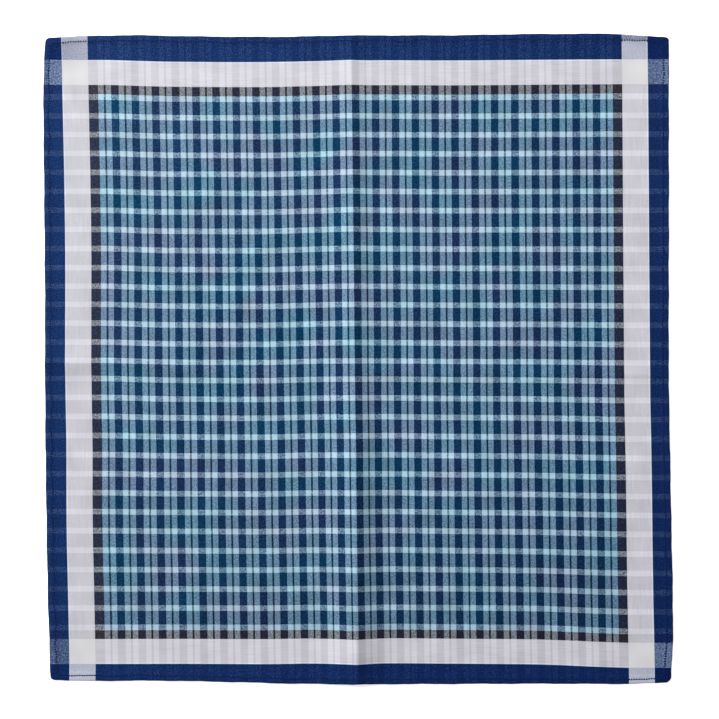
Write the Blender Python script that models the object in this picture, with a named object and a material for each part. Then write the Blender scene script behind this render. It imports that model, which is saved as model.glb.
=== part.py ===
"""A square cotton handkerchief opened out flat, its old fold creases still standing.

One sheet of cloth with a narrow hem on all four sides. It lies face up on a flat surface
with its top side towards +Y. The origin is on that surface, under the middle of the cloth's
bounding box. Two creases cross near the middle, where the cloth was folded in four: each is
a low ridge with hollow flanks, and the cloth lies flat in the quarters between them.
"""

from collections import namedtuple
from math import cos, hypot, radians, sin

import bmesh
import bpy

MILLIMETRE = 0.001

# Driving dimensions, in millimetres
SHEET_THICKNESS = 1.0
HEM_THICKNESS = 1.5
EDGE_THICKNESS = 0.9
EDGE_ROUNDING = 0.8
HEM_WIDTH = 3.8
HEM_STEP = 0.7
HALF_WIDTH = 207.0
HALF_HEIGHT = 215.0

# Grid lines: the distance from a side, and the distance from a crease's crest
HEM_MIDDLE = 0.5 * HEM_WIDTH
SIDE_LINES = (0.0, EDGE_ROUNDING, HEM_MIDDLE, HEM_WIDTH - HEM_STEP, HEM_WIDTH + HEM_STEP)
CREST_LINES = (30.0, 21.0, 13.0, 7.0, 3.0, 0.0)
OPEN_STEPS = 10
PLACING_ROUNDS = 5

CLOTH_COLOUR = (0.11, 0.23, 0.36, 1.0)
CLOTH_ROUGHNESS = 0.85

# Where a side runs: the place along it, rising, and the cloth's edge there
SidePoint = namedtuple("SidePoint", "along out")

TOP_SIDE = (
    SidePoint(-208.0, 211.4),
    SidePoint(-180.0, 213.0),
    SidePoint(-150.0, 213.6),
    SidePoint(-104.0, 212.8),
    SidePoint(-58.0, 212.5),
    SidePoint(-5.0, 213.4),
    SidePoint(60.0, 213.6),
    SidePoint(113.0, 214.4),
    SidePoint(166.0, 214.6),
    SidePoint(188.0, 213.2),
    SidePoint(206.0, 212.2),
)

BOTTOM_SIDE = (
    SidePoint(-204.0, -211.6),
    SidePoint(-180.0, -212.5),
    SidePoint(-137.0, -212.3),
    SidePoint(-85.0, -213.2),
    SidePoint(-32.0, -214.4),
    SidePoint(30.0, -214.6),
    SidePoint(120.0, -214.3),
    SidePoint(173.0, -214.5),
    SidePoint(199.0, -213.8),
    SidePoint(208.0, -213.0),
)

LEFT_SIDE = (
    SidePoint(-213.0, -203.1),
    SidePoint(-199.0, -203.4),
    SidePoint(-159.0, -204.7),
    SidePoint(-106.0, -205.7),
    SidePoint(-40.0, -206.5),
    SidePoint(40.0, -206.7),
    SidePoint(118.0, -207.3),
    SidePoint(171.0, -207.7),
    SidePoint(197.0, -207.2),
    SidePoint(212.0, -205.7),
)

RIGHT_SIDE = (
    SidePoint(-215.0, 206.2),
    SidePoint(-207.0, 206.6),
    SidePoint(-185.0, 207.7),
    SidePoint(-159.0, 207.6),
    SidePoint(-106.0, 206.6),
    SidePoint(-53.0, 205.6),
    SidePoint(0.0, 204.9),
    SidePoint(190.0, 205.0),
    SidePoint(213.0, 205.2),
)

# A crease: the place along it, where its crest runs, how high the crest stands, and how far
# its two flanks reach, towards the lower coordinate and towards the higher one
CreasePoint = namedtuple("CreasePoint", "along crest height reach_low reach_high")

UPRIGHT_CREASE = (
    CreasePoint(-215.0, -0.8, 3.2, 30.0, 26.0),
    CreasePoint(-192.0, -0.9, 6.0, 34.0, 29.0),
    CreasePoint(-100.0, -1.6, 6.0, 32.0, 26.0),
    CreasePoint(0.0, -2.4, 4.4, 28.0, 20.0),
    CreasePoint(60.0, -3.0, 3.9, 26.0, 18.0),
    CreasePoint(110.0, -3.5, 3.4, 25.0, 16.0),
    CreasePoint(160.0, -4.1, 2.4, 24.0, 13.0),
    CreasePoint(215.0, -4.8, 1.2, 22.0, 12.0),
)

LEVEL_CREASE = (
    CreasePoint(-208.0, -2.0, 1.7, 16.0, 18.0),
    CreasePoint(-140.0, -5.0, 1.3, 17.0, 24.0),
    CreasePoint(-70.0, -9.0, 0.8, 16.0, 22.0),
    CreasePoint(-20.0, -11.0, 1.1, 14.0, 16.0),
    CreasePoint(14.0, -10.0, 2.0, 15.0, 12.0),
    CreasePoint(60.0, -9.8, 1.4, 14.0, 12.0),
    CreasePoint(110.0, -10.0, 0.9, 12.0, 13.0),
    CreasePoint(208.0, -10.6, 0.8, 12.0, 12.0),
)

# Soft swells, where the cloth stands a little off the surface: the middle, the direction of
# the long way in degrees from +X, half the long way, half the short way, and the height
Swell = namedtuple("Swell", "x y turn half_long half_short height")

SWELLS = (
    Swell(-206.0, 212.0, 45.0, 26.0, 26.0, 1.3),
    Swell(-98.0, 115.0, 60.0, 58.0, 24.0, 0.9),
    Swell(-52.0, 92.0, 62.0, 46.0, 20.0, 0.6),
    Swell(104.0, -118.0, -35.0, 84.0, 46.0, 0.9),
    Swell(206.0, 96.0, 90.0, 46.0, 18.0, 0.6),
)

# A corner: which way it lies from the middle, and the radius it is turned to
Corner = namedtuple("Corner", "toward_x toward_y radius")

CORNERS = (
    Corner(-1, 1, 2.2),
    Corner(1, 1, 2.2),
    Corner(1, -1, 3.6),
    Corner(-1, -1, 2.6),
)


def blend(low, high, share):
    """Go from one value to another in a straight line."""
    return low + (high - low) * share


def read_row(rows, along):
    """Read a table at a place along it, straight between its rows."""
    along = min(max(along, rows[0].along), rows[-1].along)
    for before, after in zip(rows, rows[1:]):
        if along <= after.along:
            break
    share = (along - before.along) / (after.along - before.along)
    return type(before)(*(blend(low, high, share) for low, high in zip(before, after)))


def grid_lines(half_length):
    """Places from one side to the other: -1 and 1 are the sides, and 0 is a crease's crest."""
    from_side = [1.0 - line / half_length for line in SIDE_LINES]
    to_crest = [line / half_length for line in CREST_LINES]
    step = (from_side[-1] - to_crest[0]) / OPEN_STEPS
    open_lines = [from_side[-1] - step * count for count in range(1, OPEN_STEPS)]
    half = from_side + open_lines + to_crest
    return [-place for place in half] + half[-2::-1]


def between_sides(place, low_side, crest, high_side):
    """Turn a grid place from -1 to 1 into a coordinate between two sides, through a crest."""
    if place < 0.0:
        return blend(crest, low_side, -place)
    return blend(crest, high_side, place)


def place_on_surface(across, up):
    """Find where a grid point lies, seen from above, on the cloth with square corners."""
    x = across * HALF_WIDTH
    y = up * HALF_HEIGHT
    for _ in range(PLACING_ROUNDS):
        left = read_row(LEFT_SIDE, y).out
        right = read_row(RIGHT_SIDE, y).out
        x = between_sides(across, left, read_row(UPRIGHT_CREASE, y).crest, right)
        bottom = read_row(BOTTOM_SIDE, x).out
        top = read_row(TOP_SIDE, x).out
        y = between_sides(up, bottom, read_row(LEVEL_CREASE, x).crest, top)
    return x, y


def distance_to_sides(x, y):
    """Measure how far a point lies from the nearer upright side and the nearer level side."""
    from_upright = min(x - read_row(LEFT_SIDE, y).out, read_row(RIGHT_SIDE, y).out - x)
    from_level = min(y - read_row(BOTTOM_SIDE, x).out, read_row(TOP_SIDE, x).out - y)
    return max(from_upright, 0.0), max(from_level, 0.0)


def turn_corners(x, y):
    """Draw a point near a corner onto the corner's arcs."""
    in_x, in_y = distance_to_sides(x, y)
    for corner in CORNERS:
        if x * corner.toward_x <= 0.0 or y * corner.toward_y <= 0.0:
            continue
        out_x = corner.radius - in_x
        out_y = corner.radius - in_y
        if out_x <= 0.0 or out_y <= 0.0:
            continue
        pull = 1.0 - max(out_x, out_y) / hypot(out_x, out_y)
        x -= corner.toward_x * out_x * pull
        y -= corner.toward_y * out_y * pull
    return x, y


def crease_height(crease, along, across):
    """Height of one crease over the surface: highest at its crest, hollow down both flanks."""
    here = read_row(crease, along)
    off_crest = across - here.crest
    reach = here.reach_high if off_crest > 0.0 else here.reach_low
    share = min(abs(off_crest) / reach, 1.0)
    return here.height * (1.0 - share) ** 2


def swell_height(swell, x, y):
    """Height of one soft swell over the surface, level at its top and round its foot."""
    turn = radians(swell.turn)
    long_way = (x - swell.x) * cos(turn) + (y - swell.y) * sin(turn)
    short_way = (y - swell.y) * cos(turn) - (x - swell.x) * sin(turn)
    share = min(hypot(long_way / swell.half_long, short_way / swell.half_short), 1.0)
    return swell.height * (1.0 - share * share) ** 2


def underside_height(x, y):
    """Height of the cloth's underside: 0 where it lies on the surface."""
    upright = crease_height(UPRIGHT_CREASE, y, x)
    level = crease_height(LEVEL_CREASE, x, y)
    swell = max(swell_height(one, x, y) for one in SWELLS)
    return hypot(upright, level) + swell


def thickness(from_side):
    """Thickness of the cloth: thin at the folded edge, full over the hem, then one sheet."""
    hem_end = HEM_WIDTH - HEM_STEP
    if from_side < EDGE_ROUNDING:
        return blend(EDGE_THICKNESS, HEM_THICKNESS, from_side / EDGE_ROUNDING)
    if from_side < hem_end:
        return HEM_THICKNESS
    share = min((from_side - hem_end) / (2.0 * HEM_STEP), 1.0)
    return blend(HEM_THICKNESS, SHEET_THICKNESS, share)


def cloth_mesh():
    """Make the cloth: a grid laid to the outline and the creases, then given its thickness."""
    columns = grid_lines(HALF_WIDTH)
    rows = grid_lines(HALF_HEIGHT)
    column_steps = len(columns) - 1
    row_steps = len(rows) - 1
    shape = bmesh.new()
    bmesh.ops.create_grid(shape, x_segments=column_steps, y_segments=row_steps, size=0.5)
    for point in shape.verts:
        column = round((point.co.x + 0.5) * column_steps)
        row = round((point.co.y + 0.5) * row_steps)
        x, y = place_on_surface(columns[column], rows[row])
        rise = thickness(min(distance_to_sides(x, y)))
        x, y = turn_corners(x, y)
        point.co = (x, y, underside_height(x, y) + rise)
    face_side = shape.faces[:]
    made = bmesh.ops.extrude_face_region(shape, geom=face_side, use_keep_orig=True)
    for item in made["geom"]:
        if isinstance(item, bmesh.types.BMVert):
            item.co.z = underside_height(item.co.x, item.co.y)
    bmesh.ops.scale(shape, vec=(MILLIMETRE, MILLIMETRE, MILLIMETRE), verts=shape.verts)
    bmesh.ops.recalc_face_normals(shape, faces=shape.faces)
    mesh = bpy.data.meshes.new("handkerchief")
    shape.to_mesh(mesh)
    shape.free()
    return mesh


def cloth_material():
    """Matt yarn-dyed cotton in the mean colour of its check."""
    material = bpy.data.materials.new("cotton_cloth")
    material.use_nodes = True
    shader = material.node_tree.nodes["Principled BSDF"]
    shader.inputs["Base Color"].default_value = CLOTH_COLOUR
    shader.inputs["Roughness"].default_value = CLOTH_ROUGHNESS
    shader.inputs["Metallic"].default_value = 0.0
    return material


def clear_scene():
    """Remove whatever objects the scene starts with."""
    for item in list(bpy.data.objects):
        bpy.data.objects.remove(item, do_unlink=True)


def build_handkerchief():
    """Put the finished cloth in the scene."""
    mesh = cloth_mesh()
    mesh.materials.append(cloth_material())
    cloth = bpy.data.objects.new("handkerchief", mesh)
    bpy.context.scene.collection.objects.link(cloth)


clear_scene()
build_handkerchief()
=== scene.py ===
"""A yarn-dyed cotton handkerchief, opened out flat, with its old fold creases still standing.

The cloth is one thin sheet. Its check and its border bands are drawn yarn by yarn on the cloth's
own weave map, so they lean and bow with it. The machine stitches of the hem are a second piece.
The settings are in metres. The tables and numbers are in millimetres where they don't say metres.
"""

from collections import namedtuple
from math import atan2, radians

import bmesh
import bpy
import numpy
from mathutils import Euler, Matrix, Vector, noise


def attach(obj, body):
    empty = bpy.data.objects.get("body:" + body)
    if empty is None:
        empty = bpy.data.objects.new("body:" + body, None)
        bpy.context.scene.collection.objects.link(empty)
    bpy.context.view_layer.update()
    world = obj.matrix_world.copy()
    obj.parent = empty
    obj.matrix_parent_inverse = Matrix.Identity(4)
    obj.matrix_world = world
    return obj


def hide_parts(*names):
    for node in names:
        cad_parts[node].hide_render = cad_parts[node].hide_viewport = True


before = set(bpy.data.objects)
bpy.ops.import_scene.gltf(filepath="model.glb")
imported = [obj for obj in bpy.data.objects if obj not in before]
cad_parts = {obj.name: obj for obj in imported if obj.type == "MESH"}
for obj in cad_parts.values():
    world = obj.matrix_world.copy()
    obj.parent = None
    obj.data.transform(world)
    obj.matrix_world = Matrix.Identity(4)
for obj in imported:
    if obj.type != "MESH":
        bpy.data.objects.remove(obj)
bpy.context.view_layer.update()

bl_info = {
    "name": "Opened-out Check Handkerchief",
    "version": (1, 0, 0),
    "blender": (4, 5, 0),
    "location": "View3D > Sidebar > Handkerchief",
    "description": "Weaves, hems and lights a cotton handkerchief on its packed frame",
    "category": "Object",
}

MILLIMETRE = 0.001
CLOTH_NODE = "handkerchief"

# The cloth's grid: half sizes, distances from a side, distances from a crest, the step
# between those, and how often the placing is repeated
HALF_WIDTH = 207.0
HALF_HEIGHT = 215.0
SIDE_LINES = (0.0, 0.15, 0.45, 0.9, 1.5, 2.2, 2.8, 3.2, 3.55, 3.85, 4.25, 4.9, 5.8, 6.9)
CREST_LINES = (31.0, 26.0, 21.5, 17.5, 14.0, 11.0, 8.5, 6.4, 4.6, 3.2, 2.1, 1.3, 0.6, 0.0)
OPEN_STEP = 2.2
PLACING_ROUNDS = 5

# Where a side runs: the place along it, rising, and the cloth's edge there
SidePoint = namedtuple("SidePoint", "along out")

TOP_SIDE = (
    SidePoint(-208.0, 211.4),
    SidePoint(-180.0, 213.0),
    SidePoint(-150.0, 213.6),
    SidePoint(-104.0, 212.8),
    SidePoint(-58.0, 212.5),
    SidePoint(-5.0, 213.4),
    SidePoint(60.0, 213.6),
    SidePoint(113.0, 214.4),
    SidePoint(166.0, 214.6),
    SidePoint(188.0, 213.2),
    SidePoint(206.0, 212.2),
)

BOTTOM_SIDE = (
    SidePoint(-204.0, -211.6),
    SidePoint(-180.0, -212.5),
    SidePoint(-137.0, -212.3),
    SidePoint(-85.0, -213.2),
    SidePoint(-32.0, -214.4),
    SidePoint(30.0, -214.6),
    SidePoint(120.0, -214.3),
    SidePoint(173.0, -214.5),
    SidePoint(199.0, -213.8),
    SidePoint(208.0, -213.0),
)

LEFT_SIDE = (
    SidePoint(-213.0, -203.1),
    SidePoint(-199.0, -203.4),
    SidePoint(-159.0, -204.7),
    SidePoint(-106.0, -205.7),
    SidePoint(-40.0, -206.5),
    SidePoint(40.0, -206.7),
    SidePoint(118.0, -207.3),
    SidePoint(171.0, -207.7),
    SidePoint(197.0, -207.2),
    SidePoint(212.0, -205.7),
)

RIGHT_SIDE = (
    SidePoint(-215.0, 206.2),
    SidePoint(-207.0, 206.6),
    SidePoint(-185.0, 207.7),
    SidePoint(-159.0, 207.6),
    SidePoint(-106.0, 206.6),
    SidePoint(-53.0, 205.6),
    SidePoint(0.0, 204.9),
    SidePoint(190.0, 205.0),
    SidePoint(213.0, 205.2),
)

# A crease: the place along it, where its crest runs, how high the crest stands, and how far
# its two flanks reach, towards the lower coordinate and towards the higher one
CreasePoint = namedtuple("CreasePoint", "along crest height reach_low reach_high")

UPRIGHT_CREASE = (
    CreasePoint(-215.0, -0.8, 3.2, 30.0, 26.0),
    CreasePoint(-192.0, -0.9, 6.0, 34.0, 29.0),
    CreasePoint(-100.0, -1.6, 6.0, 32.0, 26.0),
    CreasePoint(0.0, -2.4, 4.4, 28.0, 20.0),
    CreasePoint(60.0, -3.0, 3.9, 26.0, 18.0),
    CreasePoint(110.0, -3.5, 3.4, 25.0, 16.0),
    CreasePoint(160.0, -4.1, 2.4, 24.0, 13.0),
    CreasePoint(215.0, -4.8, 1.2, 22.0, 12.0),
)

LEVEL_CREASE = (
    CreasePoint(-208.0, -2.0, 1.7, 16.0, 18.0),
    CreasePoint(-140.0, -5.0, 1.3, 17.0, 24.0),
    CreasePoint(-70.0, -9.0, 0.8, 16.0, 22.0),
    CreasePoint(-20.0, -11.0, 1.1, 14.0, 16.0),
    CreasePoint(14.0, -10.0, 2.0, 15.0, 12.0),
    CreasePoint(60.0, -9.8, 1.4, 14.0, 12.0),
    CreasePoint(110.0, -10.0, 0.9, 12.0, 13.0),
    CreasePoint(208.0, -10.6, 0.8, 12.0, 12.0),
)

# How far to each side a crest is rounded
CREST_ROUNDING = 0.9

# Soft swells, where the cloth stands a little off the surface: the middle, the direction of
# the long way in degrees from +X, half the long way, half the short way, and the height
Swell = namedtuple("Swell", "x y turn half_long half_short height")

SWELLS = (
    Swell(-206.0, 212.0, 45.0, 26.0, 26.0, 1.3),
    Swell(-98.0, 115.0, 60.0, 58.0, 24.0, 0.9),
    Swell(-52.0, 92.0, 62.0, 46.0, 20.0, 0.6),
    Swell(104.0, -118.0, -35.0, 84.0, 46.0, 0.9),
    Swell(206.0, 96.0, 90.0, 46.0, 18.0, 0.6),
)

# Slight unevenness over the whole cloth: how far apart its humps are, their height, and their
# place in the noise
Ripple = namedtuple("Ripple", "spacing height layer")

RIPPLES = (
    Ripple(48.0, 0.42, 3.7),
    Ripple(21.0, 0.10, 11.3),
)

# A wave along a side, of hem turned by hand: its length, its size and where it starts
Wave = namedtuple("Wave", "length size start")

HEM_WAVES = (
    Wave(37.0, 0.12, 4.0),
    Wave(13.3, 0.06, 1.0),
    Wave(6.1, 0.03, 2.5),
)

SEAM_WAVES = (
    Wave(29.0, 0.16, 7.0),
    Wave(9.7, 0.09, 3.0),
)

# A corner: which way it lies from the middle, and the radius it is turned to
Corner = namedtuple("Corner", "toward_x toward_y radius")

CORNERS = (
    Corner(-1, 1, 2.2),
    Corner(1, 1, 2.2),
    Corner(1, -1, 3.6),
    Corner(-1, -1, 2.6),
)

# How the cloth's section changes with the distance from its edge: the face above the sheet's
# own underside, and the underside above what the cloth lies on
HemSection = namedtuple("HemSection", "along face back")

HEM_SECTION = (
    HemSection(0.0, 0.42, 0.22),
    HemSection(0.15, 0.58, 0.08),
    HemSection(0.45, 0.70, 0.0),
    HemSection(1.5, 0.75, 0.0),
    HemSection(2.8, 0.74, 0.0),
    HemSection(3.2, 0.68, 0.0),
    HemSection(3.55, 0.60, 0.0),
    HemSection(3.85, 0.66, 0.0),
    HemSection(4.25, 0.66, 0.34),
    HemSection(4.9, 0.56, 0.26),
    HemSection(5.8, 0.40, 0.10),
    HemSection(6.9, 0.30, 0.0),
)

# How far the warp stripes lie off their true place: along the cloth's height, at seven places
# across it, three of them at the upright crease, which takes up some of the width
WarpLean = namedtuple("WarpLean", "along far_left left before_crest crest after_crest right far_right")

LEAN_PLACES = (-165.0, -104.0, -28.0, -2.0, 14.0, 94.0, 160.0)

WARP_LEAN = (
    WarpLean(-202.0, 2.7, 4.2, 4.6, 3.3, 1.8, 1.3, 2.9),
    WarpLean(-165.0, 2.0, 3.6, 4.0, 2.6, 1.2, 0.7, 2.1),
    WarpLean(-100.0, 0.8, 2.4, 2.8, 1.5, 0.2, -0.3, 1.2),
    WarpLean(-60.0, 0.7, 2.1, 2.3, 1.1, 0.0, -0.7, 0.6),
    WarpLean(-20.0, 0.1, 1.5, 1.5, 0.4, -0.4, -1.2, -0.1),
    WarpLean(19.0, -0.1, 1.0, 1.1, 0.0, -0.6, -1.3, -0.4),
    WarpLean(59.0, 0.0, 0.6, 0.4, -0.4, -0.9, -1.8, -0.7),
    WarpLean(118.0, -0.7, -0.1, -0.5, -1.1, -1.5, -2.4, -1.1),
    WarpLean(171.0, -1.8, -1.2, -1.3, -1.7, -1.8, -2.6, -1.4),
    WarpLean(212.0, -2.6, -2.0, -2.0, -2.2, -2.2, -3.0, -1.9),
)

# How far the weft stripes lie off their true place: along the cloth's width, at five heights
WeftBow = namedtuple("WeftBow", "along bottom lower middle upper top")

BOW_PLACES = (-171.0, -85.0, 0.0, 85.0, 171.0)

WEFT_BOW = (
    WeftBow(-165.0, 0.1, 0.7, 0.6, 0.7, 0.3),
    WeftBow(-120.0, 0.2, 0.0, -0.6, -0.6, -0.9),
    WeftBow(-64.0, 0.0, -0.2, -0.9, -0.7, -1.1),
    WeftBow(-30.0, 0.4, 0.5, -0.1, 0.3, -0.5),
    WeftBow(-5.0, 0.3, 0.7, 0.2, 0.8, 0.1),
    WeftBow(14.0, 0.6, 0.7, 0.2, 0.7, 0.1),
    WeftBow(60.0, 0.3, 0.1, -0.2, 0.4, 0.0),
    WeftBow(113.0, -0.1, -0.4, -0.4, 0.4, 0.4),
    WeftBow(160.0, -1.8, -1.5, -1.0, 0.5, 0.7),
    WeftBow(178.0, -2.4, -1.8, -1.2, 0.5, 0.8),
)

# Uneven spacing: the place on the cloth, and how far the stripes there are pushed along
Push = namedtuple("Push", "along push")

WARP_PUSH = (
    Push(-194.0, -0.4),
    Push(-176.0, -0.4),
    Push(-169.0, -0.2),
    Push(-165.0, 0.0),
    Push(165.0, 0.0),
    Push(176.0, 0.1),
    Push(193.0, -0.1),
)

WEFT_PUSH = (
    Push(-198.0, -2.4),
    Push(-182.0, -2.6),
    Push(-171.0, -2.3),
    Push(-152.0, -2.1),
    Push(-130.0, -1.9),
    Push(-110.0, -1.4),
    Push(-85.0, -1.6),
    Push(-60.0, -1.4),
    Push(-35.0, -1.1),
    Push(-12.0, -1.1),
    Push(10.0, -2.0),
    Push(30.0, -2.0),
    Push(60.0, -2.9),
    Push(100.0, -2.4),
    Push(150.0, -2.2),
    Push(171.0, -2.4),
    Push(182.0, -1.8),
    Push(198.0, -2.1),
)

# A hem's seam: its side of the cloth, which way is out, how far in it lies at its start and at
# its end, how much it wanders, and how long and wide its stitches are against the usual
Seam = namedtuple("Seam", "side outward inset_start inset_end wander long wide")

LEVEL_SEAMS = (
    Seam(TOP_SIDE, 1.0, 3.8, 3.6, 1.5, 1.0, 1.15),
    Seam(BOTTOM_SIDE, -1.0, 3.5, 3.0, 1.0, 1.4, 0.9),
)

UPRIGHT_SEAMS = (
    Seam(LEFT_SIDE, -1.0, 4.2, 3.5, 2.5, 1.0, 1.1),
    Seam(RIGHT_SIDE, 1.0, 4.5, 3.6, 0.8, 1.1, 1.2),
)

# A stitch: its facets round it and along it, how far it is lifted off the cloth, how many degrees
# it may turn, and the step and the place in the noise that its turn is read from
STITCH_FACETS = 8
STITCH_RINGS = 4
STITCH_LIFT = 0.06
STITCH_TURN = 5.0
SCATTER_STEP = 37.77
SCATTER_LAYER = 0.5

# A satin's shafts, and the step from one of its binding points to the next
SATIN_SHAFTS = 5.0
SATIN_STEP = 2.0

# Above this number of its binding pattern, from -2 to 2, a satin band shows its hidden yarn
SIDE_SPOT = 1.75
TOP_SPOT = 1.92
BOTTOM_SPOT = 1.97

# The same number for the weft in the border's four corners: over the white warp and over the
# navy warp, on the open cloth and on the hem
CornerWeave = namedtuple("CornerWeave", "white white_hem navy navy_hem")

TOP_LEFT_WEAVE = CornerWeave(0.60, 0.85, 0.02, 0.64)
TOP_RIGHT_WEAVE = CornerWeave(1.55, -0.05, 0.28, -0.10)
BOTTOM_LEFT_WEAVE = CornerWeave(1.42, 2.10, 0.75, 0.60)
BOTTOM_RIGHT_WEAVE = CornerWeave(1.45, 2.10, 0.02, -0.05)

# How far the noise moves the binding, which speckles the corners and the check
CORNER_SPECKLE = 2.2
PLAIN_SPECKLE = 1.3

# How much the hidden yarn darkens the one on top of it, in each kind of weave: partly its colour
# showing through, partly painted shade between the yarns
PLAIN_BLEED_AND_SHADE = 0.12
SIDE_BLEED_AND_SHADE = 0.05
TOP_BLEED_AND_SHADE = 0.045
BOTTOM_BLEED_AND_SHADE = 0.05
CORNER_WARP_BLEED_AND_SHADE = 0.08
CORNER_WEFT_BLEED_AND_SHADE = 0.20

# How far the hidden weft in a corner is greyed, as painted shade, before it darkens the warp
CORNER_SHADE_GREY = 0.4

# Painted light: the right side's white band is made this many times as light as the other three
RIGHT_WHITE_PAINTED_LIGHT = 1.06

# Streaks along the yarns: the step in the noise from yarn to yarn, their length and their strength
YARN_STEP = 7.31
STREAK_LENGTH = 14.0
STREAK_SWING = 0.14

# Flecks: how far apart they are, their strength in the check, in the side bands and in the other
# bands, and how much they swing the power of a colour, which shows most in the dark ones
FLECK_SPACING = 1.1
CHECK_FLECK_SWING = 0.21
SIDE_FLECK_SWING = 0.50
FLECK_SWING = 0.30
DARK_FLECK_SWING = 0.80

# Painted shade: how much deeper the dark colours get with each millimetre across and up, as the
# light falls off to the lower right, and, over this width, at the cloth's edge
PAINTED_SHADE_ACROSS = 0.00028
PAINTED_SHADE_UP = -0.00023
EDGE_SHADE_WIDTH = 0.9
EDGE_PAINTED_SHADE = 0.18

# Soft clouds: how far apart they are, their strength in the check and in the bands, and their
# place in the noise
CLOUD_SPACING = 14.0
CLOUD_SWING = 0.44
BAND_CLOUD_SWING = 0.20
CLOUD_LAYER = 9.0

# The check's dye, from teal to plum in patches: how far apart they are, how sharp their edges
# are, their place in the noise, the lightness from which a colour has only the light casts, and
# the casts
DYE_SPACING = 30.0
DYE_CONTRAST = 3.2
DYE_LAYER = 5.0
LIGHTEST_DARK = 0.25
TEAL_CAST = (0.91, 1.022, 1.0, 1.0)
PLUM_CAST = (1.08, 0.972, 1.0, 1.0)
DARK_TEAL_CAST = (0.28, 1.17, 1.0, 1.0)
DARK_PLUM_CAST = (1.85, 0.80, 0.90, 1.0)

# Painted shade that darkens the check towards its lower side: its lightness at the middle height
# before the cap, its gain with each millimetre up, and the lightest it gets
CHECK_PAINTED_LIGHT_BASE = 1.04
PAINTED_SHADE_GAIN = 0.0010
LIGHTEST_PAINTED_CHECK = 0.975

# The cotton's relief, in metres, and its finish
YARN_RELIEF = 0.00004
RELIEF_STRENGTH = 0.5
PLAIN_ROUGHNESS = 0.86
SATIN_ROUGHNESS = 0.70
COTTON_SPECULAR = 0.06
COTTON_SHEEN = 0.01
SHEEN_ROUGHNESS = 0.4

# The spacing of the thread's plies, in metres, the strength of the painted shade between them, and its
# finish
PLY_SPACING = 0.00035
PLY_SHADE_SWING = 0.6
THREAD_ROUGHNESS = 0.7

# The stage, in metres
FLOOR_SIZE = 14.0
FLOOR_DROP = 0.0002
FLOOR_WHITE = (0.92, 0.92, 0.92, 1.0)
FLOOR_ROUGHNESS = 0.9
FLOOR_SPECULAR = 0.1
PURE_WHITE = (1.0, 1.0, 1.0, 1.0)
KEY_PLACE = (-3.7, 2.3, 3.35)
KEY_SIZE = 1.45
TOP_PLACE = (0.08, 1.5, 1.28)
TOP_SIZE = 0.8

# Width of the camera's sensor
SENSOR_WIDTH = 36.0

# Numbers of the Mix node's sockets: the share, what is mixed and the result, for numbers and for
# colours
MIX_SHARE = 0
LOW_NUMBER = 2
HIGH_NUMBER = 3
MIXED_NUMBER = 0
LOW_COLOUR = 6
HIGH_COLOUR = 7
MIXED_COLOUR = 2


def size_setting(name, description, default):
    """A size that a user may change."""
    return bpy.props.FloatProperty(name=name, description=description, default=default, unit="LENGTH")


def pair_setting(name, description, across, up):
    """A size across and a size up that a user may change."""
    return bpy.props.FloatVectorProperty(
        name=name, description=description, size=2, default=(across, up), unit="LENGTH"
    )


def yarn_colour(name, description, colour):
    """A colour that a user may change."""
    return bpy.props.FloatVectorProperty(
        name=name, description=description, subtype="COLOR", size=4, min=0.0, max=1.0,
        default=(*colour, 1.0),
    )


class ClothSizes(bpy.types.PropertyGroup):
    """The sizes of the check, the border bands and the hem."""

    warp_repeat: size_setting("Warp repeat", "From one navy stripe to the next", 0.01322)
    navy_stripe: size_setting("Navy stripe", "Width of a navy warp stripe", 0.0049)
    thin_stripe: size_setting("Thin stripe", "Width of the thin dark stripe between navy ones", 0.0012)
    weft_repeat: size_setting("Weft repeat", "From one light weft stripe to the next", 0.012483)
    light_stripe: size_setting("Light weft stripe", "Width of a light weft stripe", 0.00344)
    warp_yarns: bpy.props.IntProperty(
        name="Warp yarns", description="Warp yarns in one repeat", default=53, min=9
    )
    weft_yarns: bpy.props.IntProperty(
        name="Weft yarns", description="Weft yarns in one repeat", default=48, min=9
    )
    check_half: pair_setting("Check", "Half the width and height of the check", 0.1694, 0.1765)
    charcoal_half: pair_setting(
        "Charcoal band", "Half the width and height to the charcoal band's outside", 0.1756, 0.18225
    )
    white_half: pair_setting(
        "White band", "Half the width and height to the white band's outside", 0.1929, 0.1990
    )
    cord_line: size_setting("Cord line", "Width of the bright line along a white band", 0.0009)
    hem_width: size_setting("Hem width", "From the edge to the hem's stitches", 0.0037)


class YarnColours(bpy.types.PropertyGroup):
    """The dyed yarns."""

    navy: yarn_colour("Navy warp", "Broad dark warp stripes", (0.0085, 0.036, 0.098))
    light: yarn_colour("Light warp", "Light warp stripes", (0.485, 0.655, 0.785))
    black: yarn_colour("Black warp", "Thin dark warp stripes", (0.011, 0.032, 0.047))
    blue: yarn_colour("Blue weft", "The check's ground weft", (0.0112, 0.055, 0.145))
    pale: yarn_colour("Pale weft", "Light weft stripes", (0.485, 0.655, 0.785))
    charcoal: yarn_colour("Charcoal", "The narrow band round the check", (0.056, 0.024, 0.021))
    charcoal_cross: yarn_colour(
        "Charcoal crossing", "Where two charcoal bands cross", (0.031, 0.028, 0.038)
    )
    white_cross: yarn_colour("White crossing", "Where two white bands cross", (0.687, 0.682, 0.706))
    white: yarn_colour("White", "The white border bands", (0.69, 0.678, 0.74))
    border: yarn_colour("Border navy", "The outer border bands", (0.0056, 0.0265, 0.127))
    cord: yarn_colour("Cord", "The bright line along a white band", (0.74, 0.80, 0.92))
    thread: yarn_colour("Sewing thread", "The hem's stitches", (0.0055, 0.0165, 0.075))


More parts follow.
